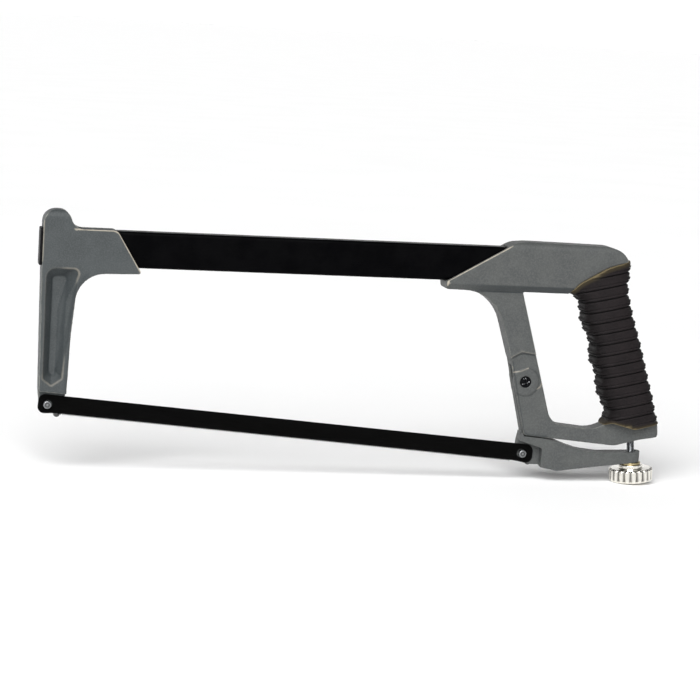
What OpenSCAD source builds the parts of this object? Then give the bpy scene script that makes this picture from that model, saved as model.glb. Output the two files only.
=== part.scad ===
// Hacksaw with a rectangular tube spine, two cast ends and a screw-tensioned blade lever.
// X runs from the front leg to the handle, -Y is the side the blade is fitted from, +Z is up.
// The origin is under the middle of the saw, level with the lowest point of the knob.

/* [Blade] */
// Distance between the two blade pin centres
pin_spacing = 300; // [298:0.5:302]
// Width of the blade
blade_w = 11.6; // [11:0.1:12]
// Thickness of the blade
blade_t = 0.65; // [0.6:0.05:0.8]
// Diameter of the holes in the blade
blade_hole_d = 5.6; // [5.5:0.1:5.8]
// Angle by which the blade falls towards the handle
blade_fall = 4.474; // [4.3:0.02:4.6]
// Diameter of the two blade pins
blade_pin_d = 4.8; // [4.6:0.1:4.8]
// Diameter of the two pins that hold the blade at 45 degrees
flush_pin_d = 4.2; // [4:0.1:4.4]
// How much thinner the root of each pin is, where it is pressed into its casting
pin_step = 0.8; // [0.6:0.1:1]

/* [Spine] */
// Height of the tube
tube_h = 22; // [21:0.5:22]
// Width of the tube
tube_w = 12; // [11:0.5:12]
// Wall of the tube
tube_wall = 1.5; // [1.2:0.1:1.8]
// Level of the middle of the tube
tube_z = 136.2; // [136:0.1:136.4]
// Gap between the tube and the castings
socket_gap = 0.1; // [0.05:0.05:0.15]
// Diameter of the spring pins that lock the castings to the tube
lock_pin_d = 4; // [3:0.5:4.5]

/* [Castings] */
// Half thickness of the front leg
leg_half = 8; // [7.8:0.1:8.4]
// Half thickness of the handle head
head_half = 9.5; // [9:0.1:10]
// Half thickness of the strut and the lower bar
strut_half = 5.75; // [5.6:0.05:6]
// Half thickness of the lever
lever_half = 5.8; // [5.7:0.05:6]
// Depth of the pocket in each side of the leg
pocket_depth = 5.4; // [3:0.2:6]
// Half width of the slot that the lever arm swings in
slot_half = 2.6; // [2.5:0.05:2.8]
// Half thickness of the lever arm inside the slot
arm_half = 2.3; // [2:0.05:2.3]

/* [Tension screw] */
// Lean of the tension stud from upright
stud_lean = 5; // [4:0.5:6]
// Diameter of the stud
stud_d = 5; // [4.8:0.1:5]
// Diameter of the knob
knob_d = 28; // [26:0.5:28]
// Height of the fluted disc of the knob
knob_h = 8.13; // [7.8:0.01:8.2]
// Number of flutes around the knob
flutes = 20; // [14:1:24]

/* [Grip] */
// Thickness of the grip across the hand
grip_t = 27; // [24:1:30]

/* [Hidden] */

$fn = 64;
seat_y = -0.7;                       // face that the blade lies against
front_x = -198.2;                    // front of the end plug
front_pin = [-189.6, 40.3];          // X and Z of the front blade pin
rear_pin = front_pin + pin_spacing * [cos(blade_fall), -sin(blade_fall)];
front_flush = [-183, 36.9];          // X and Z where the 45 degree pin leaves the leg
rear_flush = [116.11, 13.8];         // and the same on the lever
flush_y = 3.4;
flush_out = 6;                       // how far these pins stand out
flush_in = 3.4;                      // and how deep they are pressed in
root_gap = 0.02;
pivot = [107.4, 63.1];               // X and Z of the lever's pivot screw
stud_foot = [182.2, 0, 12.94];       // where the stud leaves the underside of the lever
tube_start = -196.6;
tube_end = 132;
cavity = [tube_w - 2 * tube_wall, tube_h - 2 * tube_wall];
eps = 0.01;

// Corner p1 of an outline, rounded to radius r between its neighbours p0 and p2
function unit(v) = v / norm(v);
function xz(p) = [p[0], p[1]];
function corner(p0, p1, p2) =
    let (r = p1[2], c = xz(p1))
    r == 0 ? [c] :
    let (u = unit(xz(p0) - c), v = unit(xz(p2) - c),
         half = acos(u * v) / 2,
         mid = c + unit(u + v) * r / sin(half),
         first = c + u * r / tan(half) - mid,
         last = c + v * r / tan(half) - mid,
         a0 = atan2(first[1], first[0]),
         turn = atan2(first[0] * last[1] - first[1] * last[0], first * last),
         steps = max(2, ceil(abs(turn) / 9)))
    [for (i = [0:steps]) mid + r * [cos(a0 + turn * i / steps), sin(a0 + turn * i / steps)]];
// Closed outline from points [x, z, corner radius]
function outline(pts) =
    let (n = len(pts))
    [for (i = [0:n - 1]) each corner(pts[(i + n - 1) % n], pts[i], pts[(i + 1) % n])];

// The outline in X and Z, extruded from y0 to y1
module slab(pts, y0, y1)
    translate([0, y1, 0]) rotate([90, 0, 0]) linear_extrude(y1 - y0) polygon(outline(pts));
// The same, centred on the middle plane
module plate(pts, half)
    slab(pts, -half, half);
// Bar along X with the outline in Y and Z
module bar(pts, x0, x1)
    translate([x0, 0, 0]) rotate([90, 0, 90]) linear_extrude(x1 - x0) polygon(outline(pts));
// Cylinder along Y through [x, z]
module pin_y(at, d, y0, y1)
    translate([at[0], y1, at[1]]) rotate([90, 0, 0]) cylinder(h = y1 - y0, d = d);
// Places children on the stud's axis, with the lever's underside at zero
module on_stud()
    translate(stud_foot) rotate([0, -stud_lean, 0]) children();
// Places children at a 45 degree pin, pointing out of its face
module on_flush(at)
    translate([at[0], flush_y, at[1]]) rotate([-135, 0, 0]) children();

// Cuts the 45 degree face around such a pin
module flush_face(at, length)
    translate([at[0] - length / 2, flush_y, at[1]]) rotate([45, 0, 0])
        translate([0, -40, -40]) cube([length, 80, 40]);

leg_outline = [
    [-193.6, 35, 1], [-195.3, 49, 8], [-196.6, 120, 60], [-196.6, 158.9, 8.2], [-181.6, 158.9, 7.6],
    [-178.3, 147.6, 7.8], [-152.4, 147.6, 4], [-137.3, 123.1, 0.8], [-138, 121.9, 0.6],
    [-174.6, 120.9, 17.6], [-177.8, 82, 40], [-179.2, 35, 0.5]];
leg_profile = [[-leg_half, 20, 0], [leg_half, 20, 0], [leg_half, 159, 5], [-leg_half, 159, 5]];
pocket_top = [
    [-194, 124, 6], [-172.8, 124, 3.2], [-180.6, 104, 9], [-181.8, 57, 2],
    [-188.2, 52.4, 1.5], [-193.6, 56.4, 2]];
pocket_floor = [
    [-189.6, 118.8, 2], [-180.8, 118.8, 2], [-185.8, 100, 9], [-186, 60.8, 1],
    [-188.1, 57.8, 1], [-189.8, 60.8, 1]];
head_outline = [
    [51.6, 124.8, 1], [94.6, 150, 9], [103, 151, 4], [157, 150, 20], [164.3, 147.1, 12],
    [168.5, 141.4, 1.2], [155, 137.2, 30], [137, 126.6, 20], [131, 119.7, 1.5], [52, 119.9, 1.4]];
head_profile = [
    [-7.2, 100, 0], [7.2, 100, 0], [7.2, 119.8, 0.5], [head_half, 123.6, 1], [head_half, 151, 5],
    [-head_half, 151, 5], [-head_half, 123.6, 1], [-7.2, 119.8, 0.5]];
strut_outline = [
    [60, 130, 0], [60, 119.7, 0], [83.8, 119.7, 27], [97.6, 75.6, 40], [101, 60.4, 60],
    [108.8, 29.2, 2.6], [121.4, 28.1, 0], [168.6, 23.8, 12], [186, 28.2, 20], [198.2, 30, 2],
    [196.6, 38.8, 1.6], [187.6, 37.1, 10], [179.6, 35.2, 6], [164.6, 39, 6], [153.5, 34, 20],
    [125.8, 37, 11], [118.6, 61.8, 60], [110, 91, 60], [101.6, 119.7, 2.2], [101.6, 130, 0]];
slot_outline = [
    [90, 73.2, 0], [108, 73.2, 7], [115, 68, 6], [114.6, 58, 8], [121.5, 20, 0], [90, 20, 0]];
core_outline = [
    [150, 145, 0], [146, 130, 6], [152, 117, 10], [167.5, 60, 20], [168, 34, 0], [190, 34, 0],
    [187.5, 45, 8], [165.5, 117, 10], [163, 145, 0]];
arm_outline = [
    [100.9, 69.6, 6], [113.9, 69.6, 6], [113.9, 57, 12], [120.4, 25, 0], [107.2, 25, 0],
    [107.2, 34, 10], [100.9, 60, 30]];
lever_outline = [
    [107.9, 31.4, 0.3], [109.3, 28.5, 0.6], [121.4, 27.4, 2], [130, 26.1, 3],
    [145, 20.6, 40], [160, 19, 30], [180, 19.6, 20], [187.4, 20.4, 0], [187.4, 13.45, 0],
    [178, 12.4, 20], [151.5, 9.3, 60], [132, 6.7, 12], [106.5, 11.7, 2.5], [106.5, 24, 10]];

module spine_tube() color("#17181a")
    difference() {
        translate([tube_start, 0, tube_z]) rotate([90, 0, 90]) linear_extrude(tube_end - tube_start)
            difference() {
                rounded_box([tube_w, tube_h], 2.2);
                rounded_box(cavity, 1);
            }
        for (x = lock_pin_x)
            translate([x, 0, 120]) cylinder(h = 10, d = lock_pin_d);
    }
lock_pin_x = [-160, 117];

// Rectangle with round corners, centred
module rounded_box(size, r)
    polygon(outline([for (s = [[-1, -1], [1, -1], [1, 1], [-1, 1]])
        [s[0] * size[0] / 2, s[1] * size[1] / 2, r]]));
// The space that the tube takes in a casting
module tube_socket(x0, x1)
    translate([x0, 0, tube_z]) rotate([90, 0, 90]) linear_extrude(x1 - x0)
        rounded_box([tube_w + 2 * socket_gap, tube_h + 2 * socket_gap], 2.3);

module tube_end_plug() color("#202124") {
    translate([front_x, 0, tube_z]) rotate([90, 0, 90]) linear_extrude(tube_start - front_x)
        rounded_box([tube_w + 0.6, tube_h + 0.6], 2.4);
    translate([tube_start - eps, 0, tube_z]) rotate([90, 0, 90]) linear_extrude(9)
        rounded_box([cavity[0] - 0.2, cavity[1] - 0.2], 0.9);
}

module front_leg() color("#5d6364")
    difference() {
        intersection() {
            plate(leg_outline, leg_half);
            bar(leg_profile, -200, -130);
        }
        tube_socket(tube_start - 5, -130);
        // saddle, where the spine shows between the cheeks
        translate([-175, -tube_w / 2 - socket_gap, tube_z])
            cube([50, tube_w + 2 * socket_gap, 30]);
        // seat for the end plug
        translate([front_x - 5, -8.5, tube_z - 11.5]) cube([6.6, 17, 23]);
        for (side = [0, 1]) mirror([0, side, 0]) leg_pocket();
        // step above the blade
        slab([[-205, 49.8, 0], [-170, 47, 0], [-170, 20, 0], [-205, 20, 0]], -20, seat_y);
        // face for the blade at 45 degrees
        flush_face(front_flush, 60);
        pin_y(front_pin, blade_pin_d - pin_step + root_gap, -20, 6);
        on_flush(front_flush) flush_bore();
        translate([lock_pin_x[0], 0, 110]) cylinder(h = 20, d = lock_pin_d);
    }
module leg_pocket()
    hull() {
        slab(pocket_top, -leg_half - 0.5, -leg_half + eps);
        slab(pocket_floor, -leg_half, pocket_depth - leg_half);
    }

module lock_pin(x) color("#8a8d90")
    translate([x, 0, 121.9]) difference() {
        cylinder(h = 6.2, d = lock_pin_d - 0.02);
        translate([0, 0, -1]) cylinder(h = 9, d = lock_pin_d - 1.6);
        translate([0, -0.3, -1]) cube([5, 0.6, 9]);
    }
module front_lock_pin() lock_pin(lock_pin_x[0]);
module handle_lock_pin() lock_pin(lock_pin_x[1]);

// Steel pin along Y with a thinner root in the casting and a chamfered free end
module blade_pin(at) color("#c9cbcd") {
    free = -4.2;
    pin_y(at, blade_pin_d - pin_step, seat_y - eps, 5.9);
    pin_y(at, blade_pin_d, free + 0.5, seat_y);
    translate([at[0], free + 0.5, at[1]]) rotate([90, 0, 0])
        cylinder(h = 0.5, d1 = blade_pin_d, d2 = blade_pin_d - 1);
}
module flush_pin(at) color("#c9cbcd")
    on_flush(at) {
        translate([0, 0, -flush_in]) cylinder(h = flush_in + eps, d = flush_pin_d - pin_step);
        cylinder(h = flush_out - 0.8, d = flush_pin_d);
        translate([0, 0, flush_out - 0.8]) cylinder(h = 0.8, d1 = flush_pin_d, d2 = flush_pin_d - 1.6);
    }
// The bore for its root, from the face inwards
module flush_bore()
    translate([0, 0, -flush_in]) cylinder(h = 6, d = flush_pin_d - pin_step + root_gap);
module front_blade_pin() blade_pin(front_pin);
module rear_blade_pin() blade_pin(rear_pin);
module front_flush_pin() flush_pin(front_flush);
module rear_flush_pin() flush_pin(rear_flush);

module handle_frame() color("#6b706f")
    difference() {
        union() {
            intersection() {
                plate(head_outline, head_half);
                bar(head_profile, 40, 180);
            }
            intersection() {
                plate(strut_outline, 20);
                union() {
                    rounded_bar();
                    plate([[50, 140, 0], [50, 77, 0], [97, 77.6, 0], [103.6, 81.4, 4],
                        [118, 79.8, 0], [118, 140, 0]], strut_half + 0.9);
                    pin_y(pivot, 17, -strut_half - 0.7, strut_half + 0.7);
                }
            }
            plate(core_outline, strut_half);
        }
        tube_socket(20, tube_end + 0.3);
        plate(slot_outline, slot_half);
        pin_y(pivot, 4.2, -20, 20);
        pin_y(pivot, 7.4, -20, -strut_half + 0.9);
        pin_y(pivot, 7.6, strut_half - 1.9, 20);
        on_stud() translate([0, 0, 5]) cylinder(h = 30, d = stud_d + 0.2);
        on_stud() translate([0, 0, nut_z]) cylinder(h = 12, d = 9.4);
        translate([lock_pin_x[1], 0, 110]) cylinder(h = 20, d = lock_pin_d);
    }
nut_z = 18.4;
// Strut and lower bar, with the bar's end rounded in plan
module rounded_bar() {
    end_x = strut_outline[9][0];
    r = 4.6;
    linear_extrude(140) polygon(outline([[50, -strut_half, 0], [50, strut_half, 0],
        [end_x, strut_half, r], [end_x, -strut_half, r]]));
}

// Grip sections: [x of the finger side, x of the palm side, z, share of the full thickness]
grip_sections = [
    [133, 169.4, 143, 0.78], [132.6, 171, 123.5, 0.84], [139, 171, 117, 0.92],
    [143, 175.6, 104, 0.98], [150, 183, 80, 1], [157, 190.4, 58, 0.98],
    [162.6, 196, 40, 0.88], [164.2, 197, 31, 0.84]];
grip_tilt = 15;
module grip_ring(s)
    translate([(s[0] + s[1]) / 2, 0, s[2]]) rotate([0, -grip_tilt, 0])
        scale([(s[1] - s[0]) / 2 * cos(grip_tilt), grip_t / 2 * s[3], 1])
            cylinder(h = 0.4, r = 1, $fn = 32);
module grip_sleeve() color("#2a2626")
    difference() {
        for (i = [0:len(grip_sections) - 2])
            hull() {
                grip_ring(grip_sections[i]);
                grip_ring(grip_sections[i + 1]);
            }
        plate(core_outline, strut_half + 0.05);
        difference() {
            plate([for (p = head_outline) [p[0], p[1] - (p[1] < 148 ? 0.1 : 0), p[2]]], 20);
            plate([[170, 100, 0], [170, 119.6, 0], [120, 119.6, 0], [120, 100, 0]], 21);
        }
        translate([100, -20, 141]) cube([100, 40, 40]);
        plate([[120, 0, 0], [230, 0, 0], [230, 45.6, 0], [196.6, 38.9, 1.6], [187.6, 37.2, 10],
            [179.6, 35.3, 6], [164.6, 39.1, 6], [153.5, 34.1, 20], [120, 37, 0]], 20);
    }

module tension_stud() color("#b9bcbf")
    on_stud() difference() {
        translate([0, 0, -9]) cylinder(h = 31.2, d = stud_d);
        translate([0, 0, -10]) cylinder(h = 1.6, d = 1.6);
    }
module stud_nut() color("#9a9da0")
    on_stud() translate([0, 0, nut_z + 0.05]) difference() {
        cylinder(h = 3.5, d = 9.24, $fn = 6);
        translate([0, 0, -1]) cylinder(h = 6, d = stud_d + 0.04);
    }

module pivot_screw() color("#101113") {
    head_y = -strut_half - 0.5;
    difference() {
        pin_y(pivot, 7, head_y, -strut_half + 0.85);
        for (a = [0, 90]) translate([pivot[0], head_y, pivot[1]]) rotate([0, a + 20, 0])
            cube([4.4, 1.8, 0.9], center = true);
    }
    pin_y(pivot, 4, -strut_half + 0.8, strut_half + 0.2);
}
module pivot_nut() color("#8f9295")
    difference() {
        pin_y(pivot, 7.4, strut_half - 1.85, strut_half + 0.4);
        pin_y(pivot, 4.04, 0, 20);
    }

module tension_lever() color("#6b706f")
    difference() {
        union() {
            plate(arm_outline, arm_half);
            intersection() {
                plate(lever_outline, lever_half);
                linear_extrude(60) polygon(outline([[90, -lever_half, 0], [90, lever_half, 0],
                    [187.4, lever_half, 5.7], [187.4, -lever_half, 5.7]]));
            }
        }
        // recess that the blade end lies in
        slab([[90, 30.6, 0], [121.4, 21, 1], [120.8, 0, 0], [90, 0, 0]], -20, seat_y);
        // face for the blade at 45 degrees
        flush_face(rear_flush, 22);
        pin_y(rear_pin, blade_pin_d - pin_step + root_gap, -20, 6);
        on_flush(rear_flush) flush_bore();
        pin_y(pivot, 6, -20, 20);
        // spot face that the thrust washer pushes on
        on_stud() translate([0, 0, -4]) cylinder(h = 4, d = 13.2);
        // the stud's hole is long, because the lever swings on an arc
        on_stud() {
            for (x = [0, 1.1]) translate([x, 0, -5]) cylinder(h = 20, r = 2.75);
            translate([0, -2.75, -5]) cube([1.1, 5.5, 20]);
        }
    }
module lever_bush() color("#a8834a")
    difference() {
        pin_y(pivot, 6, -arm_half, arm_half);
        pin_y(pivot, 4.1, -20, 20);
    }

washer_t = 1.3;
hub_h = 2.4;
washer_gap = 0.15;
knob_top = -washer_gap - washer_t;
disc_top = knob_top - hub_h;
module thrust_washer() color("#b59a62")
    on_stud() translate([0, 0, knob_top]) difference() {
        cylinder(h = washer_t, d = 12.4);
        translate([0, 0, -1]) cylinder(h = 4, d = stud_d + 0.1);
    }
module tension_knob() color("#d4d6d8")
    on_stud() difference() {
        union() {
            translate([0, 0, disc_top - eps]) cylinder(h = hub_h - 0.05 + eps, d = 15);
            rotate_extrude() polygon(outline([[0, disc_top, 0], [knob_d / 2, disc_top, 1.6],
                [knob_d / 2 - 0.4, disc_top - knob_h, 1.6], [0, disc_top - knob_h, 0]]));
        }
        for (i = [0:flutes - 1]) rotate([0, 0, 360 / flutes * (i + 0.5)])
            translate([knob_d / 2 + 0.9, 0, -30]) cylinder(h = 40, r = 1.7, $fn = 24);
        translate([0, 0, -30]) cylinder(h = 40, d = 8);
        translate([0, 0, disc_top - knob_h - 1]) cylinder(h = 2.4, d = 11);
    }
module knob_insert() color("#b08d4c")
    on_stud() translate([0, 0, disc_top - knob_h + 1.4]) difference() {
        cylinder(h = knob_h + hub_h - 1.5, d = 8);
        translate([0, 0, -1]) cylinder(h = 20, d = stud_d + 0.1);
    }

module hacksaw_blade() color("#121315")
    difference() {
        translate([front_pin[0], 0, front_pin[1]]) rotate([0, blade_fall, 0])
            slab([[-5.5, blade_back - 3.4, 1], [-2.2, blade_back, 1],
                [pin_spacing + 3.4, blade_back, 1], [pin_spacing + 7.1, blade_back - 3.6, 1],
                [pin_spacing + 7.1, blade_edge + 3, 1], [pin_spacing + 4.2, blade_edge, 1],
                [-2.4, blade_edge, 1], [-5.5, blade_edge + 2.8, 1]],
                seat_y - 0.05 - blade_t, seat_y - 0.05);
        // the taut blade bears on the outer side of each pin
        for (end = [[front_pin, 1], [rear_pin, -1]])
            pin_y(end[0] + end[1] * hole_play * [cos(blade_fall), -sin(blade_fall)],
                blade_hole_d, -20, 20);
    }
blade_back = blade_w / 2 + 0.15;
blade_edge = -blade_w / 2 + 0.15;
hole_play = (blade_hole_d - blade_pin_d) / 2 - 0.04;

spine_tube();
tube_end_plug();
front_leg();
front_lock_pin();
front_blade_pin();
front_flush_pin();
handle_frame();
handle_lock_pin();
grip_sleeve();
tension_stud();
stud_nut();
pivot_screw();
pivot_nut();
tension_lever();
lever_bush();
rear_blade_pin();
rear_flush_pin();
thrust_washer();
tension_knob();
knob_insert();
hacksaw_blade();
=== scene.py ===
"""Looks of the hacksaw: softened castings, ribbed grip, toothed blade, fluted knob, studio."""
from math import cos, pi, radians, sin

import bmesh
import bpy
import numpy as np
from mathutils import Matrix, Vector


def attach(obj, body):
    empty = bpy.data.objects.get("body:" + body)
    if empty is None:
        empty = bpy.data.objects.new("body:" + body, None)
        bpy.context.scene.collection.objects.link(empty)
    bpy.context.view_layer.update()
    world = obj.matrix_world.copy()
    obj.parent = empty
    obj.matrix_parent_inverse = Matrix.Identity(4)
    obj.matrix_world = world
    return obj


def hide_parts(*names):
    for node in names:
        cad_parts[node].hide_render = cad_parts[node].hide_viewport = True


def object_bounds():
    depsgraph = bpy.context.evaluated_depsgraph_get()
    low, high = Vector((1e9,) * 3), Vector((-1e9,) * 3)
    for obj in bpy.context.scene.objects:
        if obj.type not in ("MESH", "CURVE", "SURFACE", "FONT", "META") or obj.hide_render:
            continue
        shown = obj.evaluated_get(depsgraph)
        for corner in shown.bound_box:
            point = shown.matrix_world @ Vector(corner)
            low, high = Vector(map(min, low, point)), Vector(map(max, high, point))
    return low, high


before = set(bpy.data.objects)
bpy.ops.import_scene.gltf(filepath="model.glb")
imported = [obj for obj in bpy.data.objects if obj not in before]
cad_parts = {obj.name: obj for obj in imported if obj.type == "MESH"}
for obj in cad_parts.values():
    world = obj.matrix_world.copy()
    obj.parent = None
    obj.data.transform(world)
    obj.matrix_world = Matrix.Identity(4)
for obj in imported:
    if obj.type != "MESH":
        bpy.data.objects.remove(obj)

cad_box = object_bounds()
MM = 0.001               # every size below is in millimetres

# Places that the CAD source gives
FRONT_PIN = Vector((-189.6, 0, 40.3))
BLADE_FALL = radians(4.474)
PIN_SPACING = 300
REAR_PIN = FRONT_PIN + PIN_SPACING * Vector((cos(BLADE_FALL), 0, -sin(BLADE_FALL)))
FRONT_FLUSH = Vector((-183, 3.4, 36.9))
REAR_FLUSH = Vector((116.11, 3.4, 13.8))
FLUSH_AXIS = Vector((0, 1, -1)).normalized()
PIVOT = Vector((107.4, 0, 63.1))
STRUT_HALF = 5.75
STUD_FOOT = Vector((182.2, 0, 12.94))
STUD_AXIS = Vector((-sin(radians(5)), 0, cos(radians(5))))
TOWARDS = Vector((0, -1, 0))     # the side that the blade is fitted from
AWAY = Vector((0, 1, 0))


# ---------------------------------------------------------------- materials

def srgb(code):
    """Linear RGBA of a hex colour."""
    parts = [int(code[i:i + 2], 16) / 255 for i in (0, 2, 4)]
    return (*[c / 12.92 if c <= 0.04045 else ((c + 0.055) / 1.055) ** 2.4 for c in parts], 1)


class Look:
    """A procedural material, with its Principled shader's fixed values given by name."""

    def __init__(self, name, **fixed):
        self.material = bpy.data.materials.new(name)
        self.material.use_nodes = True
        self.tree = self.material.node_tree
        self.shader = self.tree.nodes["Principled BSDF"]
        self.place = self.node("ShaderNodeTexCoord").outputs["Object"]
        for socket, value in fixed.items():
            self.shader.inputs[socket.replace("_", " ")].default_value = value

    def node(self, kind, inputs=(), **settings):
        made = self.tree.nodes.new(kind)
        for key, value in settings.items():
            setattr(made, key, value)
        for key, value in dict(inputs).items():
            if isinstance(value, bpy.types.NodeSocket):
                self.tree.links.new(value, made.inputs[key])
            else:
                made.inputs[key].default_value = value
        return made

    def stretched(self, stretch, turn=(0, 0, 0)):
        """Object coordinates turned, then scaled along each axis."""
        turned = self.node("ShaderNodeMapping", {"Vector": self.place, "Rotation": turn})
        scaled = {"Vector": turned.outputs[0], "Scale": stretch}
        return self.node("ShaderNodeMapping", scaled).outputs[0]

    def noise(self, size, detail=3.0, roughness=0.55, where=None):
        """Noise with features of about this size."""
        inputs = {"Vector": where or self.place, "Scale": 1 / (size * MM), "Detail": detail,
                  "Roughness": roughness}
        return self.node("ShaderNodeTexNoise", inputs).outputs["Fac"]

    def fade(self, value, low, high, out_low=0.0, out_high=1.0):
        """The value mapped from low..high to out_low..out_high, smoothly."""
        inputs = {"Value": value, "From Min": low, "From Max": high, "To Min": out_low,
                  "To Max": out_high}
        return self.node("ShaderNodeMapRange", inputs, interpolation_type="SMOOTHSTEP").outputs[0]

    def mix(self, share, first, second):
        """The first colour where share is 0, the second where it is 1."""
        made = self.node("ShaderNodeMix", {0: share, 6: first, 7: second}, data_type="RGBA")
        return made.outputs[2]

    def math(self, what, first, second=0.0):
        return self.node("ShaderNodeMath", {0: first, 1: second}, operation=what).outputs[0]

    def attribute(self, name):
        return self.node("ShaderNodeAttribute", attribute_name=name).outputs["Fac"]

    def set(self, socket, value):
        """Drives one of the shader's sockets from a node."""
        self.tree.links.new(value, self.shader.inputs[socket])
        return self

    def bump(self, *layers):
        """Relief from layers of (height, depth in mm)."""
        normal = None
        for height, depth in layers:
            inputs = {"Height": height, "Distance": depth * MM, "Strength": 1.0}
            if normal:
                inputs["Normal"] = normal
            normal = self.node("ShaderNodeBump", inputs).outputs[0]
        return self.set("Normal", normal)


def casting_look(name, colour, shade, lit, highlight_range=(0.075, 0.14)):
    """Satin paint over a die casting: fine grain, mottling, a painted highlight on its edges and
    painted shade in its dips.

    It reads three attributes of the mesh: edge (the last argument gives the range over which it
    turns pale as a painted highlight; where it dips it gets painted shade), one of painted
    highlights along chosen lines, and shaded (painted shade in creases and on walls).
    """
    look = Look(name, Specular_IOR_Level=0.3)
    mottle = look.fade(look.noise(11, 4), 0.35, 0.65)
    grain = look.noise(0.9, 3, 0.7)
    body = look.mix(mottle, srgb(colour), srgb(shade))
    speck = look.mix(look.fade(grain, 0.40, 0.66, 0, 0.55), body, srgb(lit))
    # Convex edges turn pale, broken up by noise: a painted highlight.
    edge_highlight = look.math("MULTIPLY", look.fade(look.attribute("edge"), *highlight_range),
                       look.fade(look.noise(3.5, 5), 0.38, 0.62, 0.3, 0.85))
    # Painted shade where the edge measure dips, in creases and recesses.
    hollow_shade = look.fade(look.attribute("edge"), -0.11, -0.03, 0.8, 0)
    hollow_shaded = look.mix(hollow_shade, speck, srgb("1d2427"))
    # Painted shade on creases and walls, from the shaded attribute.
    shaded = look.mix(look.attribute("shaded"), hollow_shaded, srgb("23292c"))
    glinted = look.mix(edge_highlight, shaded, srgb("8d8d84"))
    # Painted highlights along chosen lines, in a pale cream.
    highlight_share = look.math("MULTIPLY", look.attribute("painted_highlight"),
                        look.fade(look.noise(6, 4), 0.3, 0.6, 0.55, 1))
    look.set("Base Color", look.mix(highlight_share, glinted, srgb("b5ac9c")))
    look.set("Roughness", look.fade(look.noise(1.4, 3), 0.3, 0.7, 0.42, 0.56))
    return look.bump((look.noise(3.2, 2), 0.05), (grain, 0.05)).material


def steel_look(name, colour, rough, mottled=0.12, scratch=0.012):
    """Bright or blackened metal with a fine drawn grain.

    It reads two attributes of the mesh: one for painted highlights and one for painted shade in
    recesses.
    """
    look = Look(name, Metallic=1.0)
    dark = tuple(c * (1 - mottled) for c in srgb(colour)[:3]) + (1,)
    metal = look.mix(look.fade(look.noise(1.1, 4), 0.35, 0.65), srgb(colour), dark)
    # Painted highlights from the first attribute, painted shade in recesses from the second.
    bright = look.mix(look.attribute("glinted"), metal, srgb("c4c6c8"))
    look.set("Base Color", look.mix(look.attribute("hollow_shade"), bright, srgb("2c2925")))
    drawn = look.noise(0.25, 2, 0.6, look.stretched((1, 1, 0.06)))
    look.set("Roughness", look.fade(drawn, 0.25, 0.75, rough * 0.75, rough * 1.35))
    return look.bump((drawn, scratch)).material


def tube_look():
    """Black enamel on the spine, with an orange-peel skin and faint handling marks."""
    look = Look("black_enamel", Specular_IOR_Level=0.03)
    cloud = look.fade(look.noise(14, 4), 0.35, 0.65)
    look.set("Base Color", look.mix(cloud, srgb("010102"), srgb("040405")))
    marks = look.noise(1.2, 5, 0.7, look.stretched((0.06, 1, 1), (0, 0.07, 0)))
    look.set("Roughness", look.fade(marks, 0.3, 0.75, 0.26, 0.46))
    return look.bump((look.noise(1.8, 2), 0.018), (look.noise(0.3, 1), 0.004)).material


def blade_look():
    """Black lacquered band steel with a grain along its length."""
    look = Look("black_lacquer", Specular_IOR_Level=0.03)
    along = look.stretched((0.03, 1, 1), (0, -BLADE_FALL, 0))
    grain = look.noise(0.35, 3, 0.6, along)
    look.set("Base Color", look.mix(look.fade(grain, 0.3, 0.7), srgb("020202"), srgb("060606")))
    look.set("Roughness", look.fade(look.noise(2.5, 4), 0.3, 0.7, 0.42, 0.6))
    return look.bump((grain, 0.008)).material


def grip_look():
    """Soft dark rubber, with painted shade in its grooves and on its two sides, a brownish lip, and
    a painted tan highlight along the line where it meets metal.
    """
    look = Look("soft_rubber", Specular_IOR_Level=0.12, Sheen_Weight=0.02, Sheen_Roughness=0.5)
    cloud = look.fade(look.noise(12, 3), 0.35, 0.65)
    grain = look.fade(look.noise(0.7, 2), 0.35, 0.65, 0, 0.7)
    body = look.mix(grain, look.mix(cloud, srgb("110e0f"), srgb("181415")), srgb("201b1c"))
    # Painted shade in the grooves and on the two sides.
    deep = look.mix(look.attribute("groove"), body, srgb("040303"))
    lip = look.mix(look.attribute("lip"), deep, srgb("2e281c"))
    # A painted tan highlight along the line where the rubber meets metal.
    look.set("Base Color", look.mix(look.attribute("seam"), lip, srgb("6a5f47")))
    look.set("Roughness", look.fade(look.noise(0.8, 3), 0.3, 0.7, 0.52, 0.72))
    pores = look.noise(0.28, 2, 0.6)
    return look.bump((look.noise(2.2, 2), 0.03), (pores, 0.03)).material


def plastic_look():
    """Near-black moulded plastic with a fine stipple."""
    look = Look("moulded_plastic", Specular_IOR_Level=0.1)
    cloud = look.fade(look.noise(5, 3), 0.35, 0.65)
    look.set("Base Color", look.mix(cloud, srgb("080809"), srgb("101012")))
    look.set("Roughness", look.fade(look.noise(0.6, 2), 0.3, 0.7, 0.4, 0.6))
    return look.bump((look.noise(0.35, 2), 0.015)).material


def floor_look():
    """White paper, a little uneven in tone."""
    look = Look("floor_paper", Specular_IOR_Level=0.1)
    cloud = look.fade(look.noise(220, 3), 0.3, 0.7)
    look.set("Base Color", look.mix(cloud, srgb("fafafa"), srgb("fcfcfc")))
    look.set("Roughness", look.fade(look.noise(30, 3), 0.3, 0.7, 0.85, 0.95))
    return look.bump((look.noise(2.5, 2), 0.02)).material


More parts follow.
